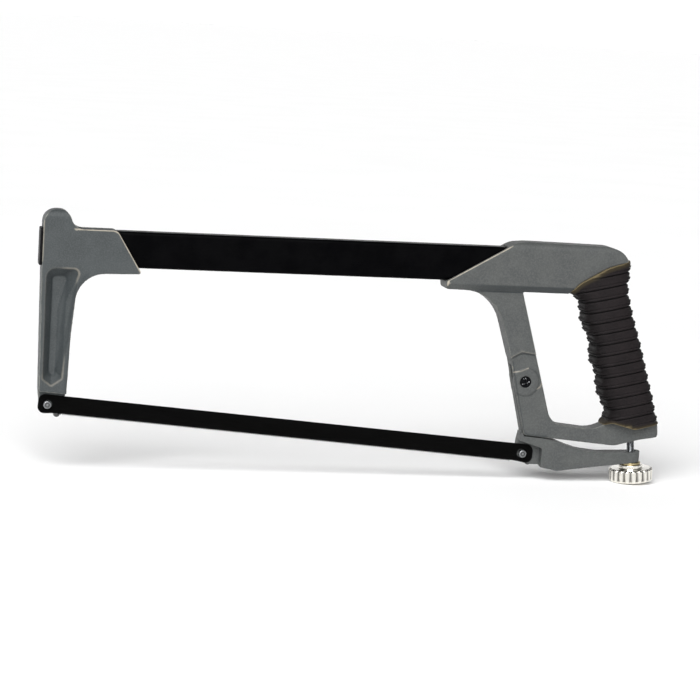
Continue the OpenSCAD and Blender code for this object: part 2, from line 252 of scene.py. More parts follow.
LOOKS = {
    "grey_casting": casting_look("satin_grey_paint", "484a49", "424444", "575958", (0.1, 0.2)),
    "leg_casting": casting_look("satin_grey_paint_leg", "3f4344", "393d3e", "4c5051", (0.06, 0.14)),
    "black_paint": tube_look(),
    "black_plastic": plastic_look(),
    "grip_rubber": grip_look(),
    "pin_steel": steel_look("pin_steel_turned", "8f9193", 0.3),
    "spring_steel": steel_look("spring_steel_drawn", "7d7f82", 0.38),
    "zinc_steel": steel_look("zinc_plated", "a6a8ab", 0.24, 0.3),
    "black_steel": steel_look("black_oxide", "1a1b1d", 0.22, 0.3),
    "brass": steel_look("brass_turned", "b8a983", 0.3),
    "nickel": steel_look("nickel_plated", "efece4", 0.12, 0.05, 0.003),
    "blade_black": blade_look(),
}


# ------------------------------------------------------------------- pieces

def piece(name, mesh, body, slot, nodes, look=None, crease=None):
    """A new piece that stands for CAD nodes and rides on their body.

    Its material is the slot's unless look names another, and edges past crease degrees are sharp.
    """
    obj = bpy.data.objects.new(name, mesh)
    bpy.context.scene.collection.objects.link(obj)
    mesh.materials.clear()
    mesh.materials.append(LOOKS[look or slot])
    mesh.shade_smooth()
    if crease:
        mesh.set_sharp_from_angle(angle=radians(crease))
    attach(obj, body)
    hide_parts(*nodes)
    return obj


def positions(mesh):
    """Every vertex's place, in metres, one row each."""
    co = np.empty(len(mesh.vertices) * 3)
    mesh.vertices.foreach_get("co", co)
    return co.reshape(-1, 3)


def per_vertex(mesh, name, values):
    """Stores one number per vertex for a material to read."""
    layer = mesh.attributes.new(name, "FLOAT", "POINT")
    layer.data.foreach_set("value", np.asarray(values, np.float32))


def evaluated(obj):
    """The object's mesh with its modifiers applied."""
    bpy.context.view_layer.update()
    graph = bpy.context.evaluated_depsgraph_get()
    return bpy.data.meshes.new_from_object(obj.evaluated_get(graph))


EDGE_PASSES = 14                 # how much further than the shape its edge measure is smoothed


def softened(node, name, voxel, passes, keep):
    """A CAD node's shape with rounded edges, as cast.

    It is remeshed at voxel mm and smoothed, and keep is the share of faces that remain. Its
    vertices carry, as edge, how far they stand out from a smoother copy.
    """
    scratch = bpy.data.objects.new(name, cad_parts[node].data.copy())
    bpy.context.scene.collection.objects.link(scratch)
    skin = scratch.modifiers.new("skin", "REMESH")
    skin.mode = "VOXEL"
    skin.voxel_size = voxel * MM
    ease = scratch.modifiers.new("ease", "SMOOTH")
    ease.factor = 0.5
    ease.iterations = passes + EDGE_PASSES
    flat = positions(evaluated(scratch))
    ease.iterations = passes
    mesh = evaluated(scratch)
    normals = np.array([v.normal for v in mesh.vertices])
    per_vertex(mesh, "edge", ((positions(mesh) - flat) * normals).sum(1) / MM)
    scratch.modifiers.clear()
    scratch.data = mesh
    scratch.modifiers.new("thin", "DECIMATE").ratio = keep
    mesh = evaluated(scratch)
    mesh.name = name
    bpy.data.objects.remove(scratch)
    return mesh


def lathe(name, profile, origin, axis, around=64, radius=None):
    """Surface of revolution of (r, h) points along an axis. radius(angle, r, h) may shape it."""
    turn = axis.to_track_quat("Z", "Y").to_matrix()
    bm = bmesh.new()
    rings = []
    for r, h in profile:
        if r == 0:
            rings.append([bm.verts.new((origin + turn @ Vector((0, 0, h))) * MM)])
            continue
        ring = []
        for k in range(around):
            a = 2 * pi * k / around
            reach = radius(a, r, h) if radius else r
            spot = Vector((reach * cos(a), reach * sin(a), h))
            ring.append(bm.verts.new((origin + turn @ spot) * MM))
        rings.append(ring)
    for low, high in zip(rings, rings[1:]):
        for k in range(around):
            corners = [low[k % len(low)], low[(k + 1) % len(low)],
                       high[(k + 1) % len(high)], high[k % len(high)]]
            bm.faces.new(list(dict.fromkeys(corners)))
    bmesh.ops.recalc_face_normals(bm, faces=bm.faces)
    return to_mesh(bm, name)


def arc(centre, radius, start, stop, steps=5):
    """Points (r, h) of an arc, in degrees, for a profile's rounded corner."""
    angles = np.radians(np.linspace(start, stop, steps))
    return [(centre[0] + radius * cos(a), centre[1] + radius * sin(a)) for a in angles]


def rounded_outline(points, steps=8):
    """Closed outline from [a, b, corner radius] points."""
    out = []
    for k, (a, b, r) in enumerate(points):
        here = Vector((a, b))
        if r == 0:
            out.append(here)
            continue
        before = (Vector(points[k - 1][:2]) - here).normalized()
        after = (Vector(points[(k + 1) % len(points)][:2]) - here).normalized()
        half = before.angle(after) / 2
        middle = here + (before + after).normalized() * r / sin(half)
        first = here + before * r / np.tan(half) - middle
        last = here + after * r / np.tan(half) - middle
        turn = first.angle_signed(last)
        out += [middle + Matrix.Rotation(-turn * s / steps, 2) @ first for s in range(steps + 1)]
    return out


def filled(outline, holes, place, levels=()):
    """A flat face with holes, cut along lines at these levels of b. place(a, b) gives the point."""
    bm = bmesh.new()
    for loop in [outline, *holes]:
        ring = [bm.verts.new((p[0], p[1], 0)) for p in loop]
        for k, vert in enumerate(ring):
            bm.edges.new((ring[k - 1], vert))
    bmesh.ops.triangle_fill(bm, use_beauty=True, edges=bm.edges[:], normal=(0, 0, 1))
    for level in levels:
        everything = bm.verts[:] + bm.edges[:] + bm.faces[:]
        bmesh.ops.bisect_plane(bm, geom=everything, plane_co=(0, level, 0), plane_no=(0, 1, 0))
    for vert in bm.verts:
        vert.co = place(vert.co.x, vert.co.y) * MM
    return bm


def thickened(bm, along):
    """Gives a flat bmesh a thickness along a vector."""
    grown = bmesh.ops.extrude_face_region(bm, geom=bm.faces[:])
    for item in grown["geom"]:
        if isinstance(item, bmesh.types.BMVert):
            item.co += along * MM
    bmesh.ops.recalc_face_normals(bm, faces=bm.faces)
    return bm


def to_mesh(bm, name):
    """A mesh made from a bmesh, which is freed."""
    mesh = bpy.data.meshes.new(name)
    bm.to_mesh(mesh)
    bm.free()
    return mesh


def to_line(points, line):
    """Distance in X and Z from each point to a line of straight parts."""
    best = np.full(len(points), 1e9)
    flat = points[:, [0, 2]]
    for a, b in zip(np.array(line), np.array(line)[1:]):
        share = np.clip((flat - a) @ (b - a) / ((b - a) @ (b - a)), 0, 1)
        best = np.minimum(best, np.linalg.norm(flat - a - share[:, None] * (b - a), axis=1))
    return best


def ease_between(values, low, high):
    """0 at low and 1 at high, with a smooth step between."""
    share = np.clip((np.asarray(values) - low) / (high - low), 0, 1)
    return share * share * (3 - 2 * share)


# ----------------------------------------------------------------- castings

# Lines in X and Z, each along a feature of the CAD outlines, that the painted highlights and shade
# follow
LEG_SLANT = [(-178, 147.6), (-154.5, 147.6), (-151.6, 146.2), (-137.6, 123.2)]
LEG_BACK = [(-196.6, 128), (-196.6, 152)]
LEG_INNER = [(-170, 119.5), (-175.2, 112), (-177.4, 95), (-177.9, 82), (-179.2, 45)]
POCKET_RIM = [[-194, 124, 6], [-172.8, 124, 3.2], [-180.6, 104, 9], [-181.8, 57, 2],
              [-188.2, 52.4, 1.5], [-193.6, 56.4, 2]]
POCKET_FLOOR = [[-189.6, 118.8, 2], [-180.8, 118.8, 2], [-185.8, 100, 9], [-186, 60.8, 1],
                [-188.1, 57.8, 1], [-189.8, 60.8, 1]]
HEAD_SLANT = [(52.2, 121.5), (53, 125.9), (92, 148.5)]
CHEVRON = [(90, 78.4), (97, 78.4), (103.6, 82.2), (112, 80.9)]
# Short lines at the boss that get a painted highlight
BOSS_HIGHLIGHTS = ([(-8.9, 5.8), (-9.1, 9.3)], [(-8.7, 5.8), (-3.3, 6.9), (1.2, 8.8)],
              [(7.8, -4.3), (10, -2.6), (10.7, -0.9)])       # measured from the pivot
STRUT_OUTER = [(98.2, 75.6), (101.5, 60.4), (108.8, 30.6), (111, 29.4), (124, 28.6)]


def inside(spots, corners):
    """Which points lie inside an outline in X and Z."""
    a = np.array(corners)
    b = np.roll(a, -1, axis=0)
    x, z = spots[:, [0]], spots[:, [2]]
    cross = (a[:, 1] > z) != (b[:, 1] > z)
    rise = np.where(a[:, 1] == b[:, 1], 1e-9, b[:, 1] - a[:, 1])
    return (cross * (x < a[:, 0] + (z - a[:, 1]) / rise * (b[:, 0] - a[:, 0]))).sum(1) % 2 == 1


def line_mark(away, width):
    """Full on a line, nothing beyond width from it."""
    return 1 - ease_between(away, width * 0.4, width)


def outer_face(spots, depth):
    """1 on the two outermost faces, falling to 0 at this depth below them."""
    out = abs(spots[:, 1])
    return ease_between(out, out.max() - depth, out.max() - 0.5)


def highest(*layers):
    return np.maximum.reduce(layers)


def leg_painted_light(mesh):
    """Painted highlights along the slanted and back edges and on the pocket's rim, and painted
    shade on its steep walls and on the strip inside the right edge.
    """
    spots = positions(mesh) / MM
    rim = rounded_outline(POCKET_RIM)
    floor = rounded_outline(POCKET_FLOOR)
    face = outer_face(spots, 1.3)
    right = ease_between(spots[:, 0], -186, -181)
    low = 1 - ease_between(spots[:, 2], 56, 62)
    to_rim = to_line(spots, [*rim, rim[0]])
    to_floor = to_line(spots, [*floor, floor[0]])
    off_rim = to_rim > 0.4

    slant = 0.8 * line_mark(to_line(spots, LEG_SLANT), 0.62) * face
    back = 0.35 * line_mark(to_line(spots, LEG_BACK), 0.8) * face
    bright = line_mark(to_rim, 0.85) * (0.05 + 0.2 * np.maximum(right, 0.6 * low)) * face
    # Painted highlights along the slanted edge, the back edge and the pocket's rim.
    per_vertex(mesh, "painted_highlight", highest(slant, back, bright))

    wall = inside(spots, rim) & ~inside(spots, floor)
    wall_shade = wall * (0.2 + 0.25 * right + 0.25 * line_mark(to_floor, 1.6))
    strip = 0.3 * line_mark(to_line(spots, LEG_INNER), 2.4)
    # Painted shade on the pocket's walls and on the strip inside the right edge.
    per_vertex(mesh, "shaded", highest(wall_shade * off_rim, strip * off_rim))
    return mesh


def handle_painted_light(mesh):
    """Painted highlights along the slanted edge, at the boss and on the step's crest, and painted
    shade under the head, below the step and along the strut's outer edge.
    """
    spots = positions(mesh) / MM
    front = ease_between(-spots[:, 1], 4.5, 5.5)

    slant = 0.85 * line_mark(to_line(spots, HEAD_SLANT), 0.75) * outer_face(spots, 1.2)
    marks = [0.42 * front * line_mark(
        to_line(spots, [(PIVOT.x + x, PIVOT.z + z) for x, z in line]), 0.5) for line in BOSS_HIGHLIGHTS]
    crest_line = [(x, z + 0.2) for x, z in CHEVRON[1:]]
    crest = 0.15 * line_mark(to_line(spots, crest_line), 0.5) * front
    # Painted highlights along the slanted edge, the step's crest and the boss's arcs.
    per_vertex(mesh, "painted_highlight", highest(slant, crest, *marks))

    band = (1 - ease_between(spots[:, 2], 123.4, 124.2)) * (spots[:, 2] > 118.8)
    under_head = 0.55 * band * ease_between(spots[:, 0], 60, 82)
    step_line = [(x, z - 0.4) for x, z in CHEVRON]
    step = 0.6 * line_mark(to_line(spots, step_line), 0.55) * front
    crease = 0.6 * line_mark(to_line(spots, STRUT_OUTER), 0.9) * front
    # Painted shade under the head, below the step and along the strut's outer edge.
    per_vertex(mesh, "shaded", highest(under_head, step, crease))
    return mesh


piece("leg_casting", leg_painted_light(softened("front_leg", "leg_casting", 0.36, 4, 0.6)), "frame",
      "grey_casting", ["front_leg"], look="leg_casting")
piece("handle_casting", handle_painted_light(softened("handle_frame", "handle_casting", 0.42, 3, 0.45)),
      "frame", "grey_casting", ["handle_frame"])
piece("lever_casting", softened("tension_lever", "lever_casting", 0.3, 5, 0.6), "lever",
      "grey_casting", ["tension_lever"])


# --------------------------------------------------------------- spine tube

def plain_copy(node, name):
    """A copy of a CAD node with its split vertices joined, so that it can be shaded smoothly."""
    bm = bmesh.new()
    bm.from_mesh(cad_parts[node].data)
    bmesh.ops.remove_doubles(bm, verts=bm.verts, dist=0.001 * MM)
    return to_mesh(bm, name)


piece("spine_enamelled", plain_copy("spine_tube", "spine_enamelled"), "frame", "black_paint",
      ["spine_tube"], crease=35)
piece("end_plug_moulded", softened("tube_end_plug", "end_plug_moulded", 0.22, 3, 0.7), "frame",
      "black_plastic", ["tube_end_plug"])


# -------------------------------------------------------------------- blade

TOOTH_PITCH = 25.4 / 18
TOOTH_DEPTH = 0.85
TOOTH_SET = 0.22                 # how far the wave of the edge swings to each side
SET_WAVE = 6 * TOOTH_PITCH
SET_HEIGHT = 2.4                 # how far up the blade the wave reaches
BLADE_EDGE, BLADE_BACK = -5.65, 5.95
BLADE_NEAR, BLADE_FAR = -1.4, -0.75
BLADE_START, BLADE_STOP = -5.5, PIN_SPACING + 7.1
PLAIN_END = 7                    # from each pin to the nearest tooth
HOLE_R = 2.8
HOLE_SHIFT = 0.36                # each hole's centre lies this far inside its pin's


def blade_mesh():
    """The blade in its own length u and height v: rounded ends, two holes, wavy-set teeth."""
    along = Vector((cos(BLADE_FALL), 0, -sin(BLADE_FALL)))
    up = Vector((sin(BLADE_FALL), 0, cos(BLADE_FALL)))
    last = PIN_SPACING - PLAIN_END
    teeth = []
    for k in range(int((last - PLAIN_END) / TOOTH_PITCH) + 1):
        u = PLAIN_END + TOOTH_PITCH * k
        teeth += [(u, BLADE_EDGE + TOOTH_DEPTH), (u + 0.06, BLADE_EDGE)]
        teeth += [(u + 0.25, BLADE_EDGE + 0.02), (u + 1.05, BLADE_EDGE + TOOTH_DEPTH * 0.9)]
    corners = rounded_outline([
        [BLADE_START, BLADE_EDGE, 4], [BLADE_START, BLADE_BACK, 4],
        [BLADE_STOP, BLADE_BACK, 4.6], [BLADE_STOP, BLADE_EDGE, 3.8]])
    outline = [(p[0], p[1]) for p in corners] + teeth[::-1]
    holes = []
    for centre in (HOLE_SHIFT, PIN_SPACING - HOLE_SHIFT):
        spin = [2 * pi * k / 40 for k in range(40)]
        holes.append([(centre + HOLE_R * cos(a), HOLE_R * sin(a)) for a in spin])

    def place(u, v):
        reach = max(0.0, 1 - (v - BLADE_EDGE) / SET_HEIGHT) ** 1.3
        toothed = PLAIN_END < u < last
        swing = TOOTH_SET * reach * sin(2 * pi * u / SET_WAVE) * toothed
        return FRONT_PIN + along * u + up * v + Vector((0, BLADE_NEAR + swing, 0))

    # Extra edges along the blade, so that only the part below them swings
    levels = (BLADE_EDGE + TOOTH_DEPTH + 0.15, BLADE_EDGE + SET_HEIGHT)
    flat = filled(outline, holes, place, levels)
    return to_mesh(thickened(flat, Vector((0, BLADE_FAR - BLADE_NEAR, 0))), "blade_toothed")


piece("blade_toothed", blade_mesh(), "blade", "blade_black", ["hacksaw_blade"], crease=35)


# --------------------------------------------------------------------- grip

GRIP_TILT = radians(13)
RIB_PITCH = 7.04
RIB_START = 2.1                  # height of the lowest groove along the grip
GROOVE_DEPTH = 0.95
GROOVE_WIDTH = 0.36
SECOND_AT, SECOND_WIDTH, SECOND_DEPTH = 1.9, 0.26, 0.32      # the faint line above each groove
FINGER_POWER, PALM_POWER = 4.6, 3.2     # how square the section is on each side: 2 is round
SIDE_POWER = 7                   # how closely the scallops keep to the two sides
GRIP_FACETS = 112
CUTTER_HALF = 30                 # well beyond the grip's sides
# Crests of the ribs on the finger side and on the palm side, as (x, z)
FINGER_SIDE = [
    (158.8, 30), (160.4, 38), (163, 43.5), (160.3, 50), (157.2, 55.5), (155.6, 61), (155.4, 65),
    (154.2, 70.5), (150.9, 75.5), (149.6, 80), (149.7, 85), (148.7, 90.5), (145.4, 96),
    (142.4, 101.5), (141.6, 107), (140.8, 111.5), (138.6, 116), (133.5, 119.2), (129.5, 122.5),
    (128.5, 130), (128.5, 138)]
PALM_SIDE = [
    (198, 31), (197.4, 38.5), (196.2, 43.5), (194.2, 49.5), (192.6, 55.5), (190.6, 61.5),
    (188.6, 67.5), (186.4, 74.5), (184.4, 81), (182.2, 88), (179.6, 95.5), (177.4, 101.5),
    (175.4, 107.5), (173.4, 114.5), (171.7, 120.5), (170.9, 126), (171.6, 131.5), (172, 136),
    (171.2, 140), (169.5, 146)]
HALF_THICKNESS = [(-16, 11), (-1, 11.9), (17, 13.2), (40, 13.5), (65, 13.2), (79, 12.4),
                  (88, 11.6), (106, 10.8)]
# Line along which the grip meets the head, and the line along which it meets the lower bar
HEAD_SEAM = [[131, 119.6, 0], [137, 126.5, 14], [155, 137.1, 30], [168.5, 141.3, 0]]
BAR_SEAM = [[153.5, 34.1, 0], [164.6, 39.1, 6], [179.6, 35.3, 6], [187.6, 37.2, 10],
            [196.6, 38.9, 0]]
CORE = [[150, 170, 0], [146, 130, 6], [152, 117, 10], [167.5, 60, 20], [168, 20, 0],
        [190, 20, 0], [187.5, 45, 8], [165.5, 117, 10], [163, 170, 0]]


def open_line(points, steps=6):
    """An open line with its inner corners rounded."""
    closing = [[points[-1][0], points[-1][1] + 1000, 0], [points[0][0], points[0][1] + 1000, 0]]
    return [tuple(p) for p in rounded_outline(points + closing, steps)[:-2]]


def prism(name, outline, half):
    """A cutter with an outline in X and Z, as wide as twice half."""
    flat = filled(outline, [], lambda a, b: Vector((a, -half, b)))
    mesh = to_mesh(thickened(flat, Vector((0, 2 * half, 0))), name)
    obj = bpy.data.objects.new(name, mesh)
    bpy.context.scene.collection.objects.link(obj)
    return obj


def smooth_curve(heights, spots):
    """Values at heights, through (height, value) spots, with their corners eased."""
    spots = sorted(spots)
    known, values = np.array(spots).T
    fine = np.linspace(known[0], known[-1], 900)
    level = np.interp(fine, known, values)
    reach = 20                   # samples that the easing takes in on each side
    window = np.hanning(2 * reach + 1)
    padded = np.pad(level, reach, mode="edge")
    eased = np.convolve(padded, window / window.sum(), mode="valid")
    return np.interp(heights, fine, eased)


def rib_relief(height):
    """Relief along the grip: its narrow grooves, and the wider scallops felt at its two sides."""
    phase = ((height - RIB_START) / RIB_PITCH + 0.5) % 1 - 0.5
    away = phase * RIB_PITCH
    groove = np.exp(-(away / GROOVE_WIDTH) ** 2)
    second = np.exp(-((away - SECOND_AT) / SECOND_WIDTH) ** 2)
    depth = GROOVE_DEPTH * groove + SECOND_DEPTH * second
    scallop = 1.3 * (0.5 - phase) + 1.2 * np.exp(-away ** 2) + 0.9 * second
    # The third value marks the grooves for painted shade.
    return depth, scallop, np.clip(groove + 0.3 * second, 0, 1)


def grip_mesh():
    """Rings along the tilted grip, trimmed where it meets the head, the lower bar and the core.

    u runs across the grip from the fingers to the palm, and w along it.
    """
    tilt_c, tilt_s = cos(GRIP_TILT), sin(GRIP_TILT)

    def tilted(spots):
        return [(-x * tilt_s + z * tilt_c, x * tilt_c + z * tilt_s) for x, z in spots]

    # Rings lie close together across each groove and the line above it, and sparsely between
    grooves = RIB_START + RIB_PITCH * np.arange(-2, 15)
    steps = np.concatenate([np.linspace(-1.1, 2.6, 17), np.linspace(3.2, 5.6, 5)])
    heights = np.array([g + s for g in grooves for s in steps])
    heights = heights[(heights > -12) & (heights < 103)]
    finger = smooth_curve(heights, tilted(FINGER_SIDE))
    palm = smooth_curve(heights, tilted(PALM_SIDE))
    half = smooth_curve(heights, HALF_THICKNESS)
    depth, scallop, _ = rib_relief(heights)
    angles = 2 * pi * np.arange(GRIP_FACETS) / GRIP_FACETS
    power = 2 / np.where(np.cos(angles) < 0, FINGER_POWER, PALM_POWER)
    c = np.sign(np.cos(angles)) * abs(np.cos(angles)) ** power
    s = np.sign(np.sin(angles)) * abs(np.sin(angles)) ** power
    egg = 1 - 0.14 * np.clip(-c, 0, 1) ** 2       # a little narrower towards the fingers
    bm = bmesh.new()
    seam = open_line(HEAD_SEAM)
    bar = open_line(BAR_SEAM)
    rings = []
    for k, w in enumerate(heights):
        middle, reach = (finger[k] + palm[k]) / 2, (palm[k] - finger[k]) / 2
        u = middle + reach * c
        x, z = u * tilt_c - w * tilt_s, u * tilt_s + w * tilt_c
        flat = np.stack([x, 0 * x, z], 1)
        room = np.minimum(to_line(flat, seam) - 2.4, to_line(flat, bar) - 1.2)
        cut = (depth[k] + scallop[k] * abs(c) ** SIDE_POWER) * ease_between(room, -0.5, 1.5)
        inward = (reach - cut) / reach
        u = middle + reach * c * inward
        y = (half[k] - cut) * s * egg
        x, z = u * tilt_c - w * tilt_s, u * tilt_s + w * tilt_c
        rings.append([bm.verts.new((a * MM, b * MM, e * MM)) for a, b, e in zip(x, y, z)])
    for low, high in zip(rings, rings[1:]):
        for k in range(GRIP_FACETS):
            bm.faces.new((low[k - 1], low[k], high[k], high[k - 1]))
    bm.faces.new(rings[0][::-1])
    bm.faces.new(rings[-1])
    bmesh.ops.recalc_face_normals(bm, faces=bm.faces)
    solid = bpy.data.objects.new("grip_solid", to_mesh(bm, "grip_solid"))
    bpy.context.scene.collection.objects.link(solid)
    above = seam + [(200, 148), (200, 170), (100, 170), (100, 119.6)]
    below = bar + [(230, 46), (230, 0), (100, 0), (100, 34.1)]
    cutters = [prism("cut_head", above, CUTTER_HALF), prism("cut_bar", below, CUTTER_HALF),
               prism("cut_core", rounded_outline(CORE), STRUT_HALF + 0.05)]
    for cutter in cutters:
        cut = solid.modifiers.new(cutter.name, "BOOLEAN")
        cut.operation = "DIFFERENCE"
        cut.solver = "MANIFOLD"
        cut.object = cutter
    mesh = evaluated(solid)
    for scratch in [solid, *cutters]:
        bpy.data.objects.remove(scratch)

    spots = positions(mesh) / MM
    w = -spots[:, 0] * tilt_s + spots[:, 2] * tilt_c
    u = spots[:, 0] * tilt_c + spots[:, 2] * tilt_s
    to_head, to_bar = to_line(spots, seam), to_line(spots, bar)
    edge = np.minimum(to_head, to_bar + 1.0)      # the lip at the bar is 1 mm narrower
    _, _, dark = rib_relief(w)
    front, back = np.interp(w, heights, finger), np.interp(w, heights, palm)
    share = (u - front) / (back - front)      # 0 at the fingers, 1 at the palm; both sides get painted shade
    side_shade = 0.5 * (1 - ease_between(share, 0.12, 0.3)) + 0.45 * ease_between(share, 0.84, 0.95)
    # Painted shade in the grooves and on both sides, kept off the lip.
    per_vertex(mesh, "groove", np.maximum(dark, side_shade) * ease_between(edge, 2, 3.6))
    per_vertex(mesh, "lip", 1 - ease_between(edge, 1.2, 3.4))
    # Painted tan highlight along the seams.
    per_vertex(mesh, "seam", 1 - ease_between(np.minimum(to_head, to_bar + 0.12), 0.05, 0.5))
    return mesh


piece("grip_ribbed", grip_mesh(), "frame", "grip_rubber", ["grip_sleeve"], crease=50)


# --------------------------------------------------------- pins and screws

PIN_R, FLUSH_R = 2.4, 2.1
PIN_LENGTH, PIN_ROOT, PIN_BACK = 10.1, 6.6, 5.9
FLUSH_LENGTH, FLUSH_ROOT = 9.4, 3.4


def pin_profile(radius, length, root):
    """Headless pin: its thinner root, a chamfered free end, and a ring turned in that end."""
    end, thin = length, radius - 0.4
    return [(0, 0), (thin - 0.2, 0), (thin, 0.2), (thin, root), (radius, root),
            (radius, end - 0.55), *arc((radius - 0.5, end - 0.5), 0.5, 0, 75), (radius * 0.66, end),
            (radius * 0.58, end - 0.45), (radius * 0.4, end - 0.45), (radius * 0.3, end - 0.1),
            (0, end - 0.05)]


def from_axis(mesh, origin, axis):
    """How far along an axis each vertex lies, and how far out from it."""
    rays = positions(mesh) / MM - np.array(origin)
    along = rays @ np.array(axis)
    return along, np.linalg.norm(rays - along[:, None] * np.array(axis), axis=1)


for name, at, body in (("front_blade_pin", FRONT_PIN, "frame"),
                       ("rear_blade_pin", REAR_PIN, "lever")):
    back = at + AWAY * PIN_BACK
    shape = lathe(name + "_turned", pin_profile(PIN_R, PIN_LENGTH, PIN_ROOT), back, TOWARDS, 48)
    along, out = from_axis(shape, back, TOWARDS)
    # Painted shade in the ring turned in the pin's end.
    ring = (out > PIN_R * 0.35) * (out < PIN_R * 0.62) * (along > PIN_LENGTH - 1.1)
    per_vertex(shape, "hollow_shade", 0.6 * ring)
    piece(name + "_turned", shape, body, "pin_steel", [name], crease=28)
for name, at, body in (("front_flush_pin", FRONT_FLUSH, "frame"),
                       ("rear_flush_pin", REAR_FLUSH, "lever")):
    shape = lathe(name + "_turned", pin_profile(FLUSH_R, FLUSH_LENGTH, FLUSH_ROOT),
                  at - FLUSH_AXIS * FLUSH_ROOT, FLUSH_AXIS, 48)
    # Painted shade on the pin's sides and rim, leaving its middle bright.
    _, out = from_axis(shape, at, FLUSH_AXIS)
    per_vertex(shape, "hollow_shade", 0.7 * (out > FLUSH_R * 0.7))
    piece(name + "_turned", shape, body, "pin_steel", [name], crease=28)


def screw_mesh():
    """Low round head with a cross recess, and its shank. Depths run back from the head's top."""
    radius, head, shank, length = 3.5, 1.35, 2.0, 12.2
    turn = radians(20)
    head_rings = (0.3, 0.6, 0.9, 1.2, 1.5, 1.8, 2.1, 2.4, 2.7, 3.0, 3.25, 3.42, radius)
    angles = [2 * pi * k / 96 for k in range(96)]
    bm = bmesh.new()

    def spot(r, a, depth):
        return Vector((PIVOT.x + r * cos(a), -STRUT_HALF - 0.5 + depth, PIVOT.z + r * sin(a))) * MM

    def depth(r, a):
        """How deep the head's top lies: its crown, and the cross cut into the middle.

        An arm of the cross is 0.42 to each side at its floor and 0.72 at its rim, and reaches
        1.7 and 2.3 from the middle there.
        """
        crown = 0.28 * (r / radius) ** 2.6
        across = [abs(r * sin(a - turn - k * pi / 2)) for k in (0, 1)]
        cut = 0.95 * (1 - ease_between(min(across), 0.42, 0.72)) * (1 - ease_between(r, 1.7, 2.3))
        return crown + float(cut)

    rings = [[bm.verts.new(spot(r, a, depth(r, a))) for a in angles] for r in head_rings]
    for r, d in ((radius, head), (shank, head), (shank, length - 0.25), (shank - 0.3, length)):
        rings.append([bm.verts.new(spot(r, a, d)) for a in angles])
    for low, high in zip(rings, rings[1:]):
        for k in range(len(angles)):
            bm.faces.new((low[k - 1], low[k], high[k], high[k - 1]))
    hub = bm.verts.new(spot(0, 0, depth(0, 0)))
    tail = bm.verts.new(spot(0, 0, length))
    for k in range(len(angles)):
        bm.faces.new((hub, rings[0][k], rings[0][k - 1]))
        bm.faces.new((tail, rings[-1][k - 1], rings[-1][k]))
    bmesh.ops.recalc_face_normals(bm, faces=bm.faces)
    mesh = to_mesh(bm, "pivot_screw_cross")

    # Painted highlights along parts of the recess's edges
    spots = positions(mesh) / MM - np.array(PIVOT)
    reach = np.hypot(spots[:, 0], spots[:, 2])
    a = np.arctan2(spots[:, 2], spots[:, 0])
    arm = reach * np.minimum(abs(np.sin(a - turn)), abs(np.cos(a - turn)))
    front = spots[:, 1] < -STRUT_HALF + 0.2
    rim = (arm > 0.4) * (arm < 0.85) * (reach > 0.7) * (reach < 2.5)
    per_vertex(mesh, "glinted", 0.9 * rim * front * (np.cos(3 * a + 1) > 0.1))
    return mesh


piece("pivot_screw_cross", screw_mesh(), "frame", "black_steel", ["pivot_screw"], crease=40)

NUT_R, NUT_BORE = 3.7, 2.03
nut_profile = [(NUT_BORE, 0), (NUT_R - 0.25, 0), (NUT_R, 0.25), (NUT_R, 1.8),
               *arc((NUT_R - 0.4, 1.85), 0.4, 0, 80), (2.5, 2.25), (NUT_BORE, 1.95), (NUT_BORE, 0)]
piece("pivot_nut_turned", lathe("pivot_nut_turned", nut_profile, PIVOT + AWAY * 3.9, AWAY, 64),
      "frame", "zinc_steel", ["pivot_nut"], crease=30)


# ------------------------------------------------------- tension screw, knob

STUD_R, STUD_PITCH, THREAD = 2.5, 0.8, 0.42
STUD_LOW, STUD_HIGH = -9, 22.2


def thread(a, r, h):
    """Radius of the stud's thread at an angle and a height, thinner at its two ends."""
    phase = (h / STUD_PITCH - a / (2 * pi)) % 1
    ends = min(ease_between(h, STUD_LOW, STUD_LOW + 1), 1 - ease_between(h, 21.4, STUD_HIGH))
    return min(r, STUD_R - THREAD * (1 - abs(2 * phase - 1)) - (1 - float(ends)) * 0.4)


rows = [float(h) for h in np.arange(STUD_LOW, STUD_HIGH, STUD_PITCH / 7)]
stud_profile = [(0, STUD_LOW)] + [(STUD_R, h) for h in rows] + [(0, rows[-1])]
piece("tension_stud_threaded",
      lathe("tension_stud_threaded", stud_profile, STUD_FOOT, STUD_AXIS, 32, thread),
      "frame", "zinc_steel", ["tension_stud"], crease=50)

# Heights along the stud, from where it leaves the lever
WASHER_T, WASHER_GAP, HUB_H, DISC_H = 1.3, 0.15, 2.4, 8.13
WASHER_BORE = 2.55
KNOB_TOP = -WASHER_GAP - WASHER_T
DISC_TOP = KNOB_TOP - HUB_H
DISC_FOOT = DISC_TOP - DISC_H
washer_profile = [(WASHER_BORE, KNOB_TOP), *arc((5.9, KNOB_TOP + 0.3), 0.3, -90, 0),
                  *arc((5.9, KNOB_TOP + WASHER_T - 0.3), 0.3, 0, 90), (WASHER_BORE, -WASHER_GAP),
                  (WASHER_BORE, KNOB_TOP)]
piece("thrust_washer_turned",
      lathe("thrust_washer_turned", washer_profile, STUD_FOOT, STUD_AXIS, 72),
      "carrier", "brass", ["thrust_washer"], crease=40)

KNOB_R, KNOB_BORE, KNOB_EDGE = 14, 4, 1.1
FLUTES, FLUTE_DEPTH, FLUTE_FROM = 20, 1.0, 9     # the flutes start at radius 9 and run outwards


def fluted(a, r, h):
    """Radius of the knob, with finger flutes around its disc."""
    if r < FLUTE_FROM or h > DISC_TOP + 0.2:
        return r
    wave = 0.5 + 0.5 * cos(FLUTES * a)
    return r - FLUTE_DEPTH * wave ** 1.6 * min(1.0, (r - FLUTE_FROM) / 3.5)


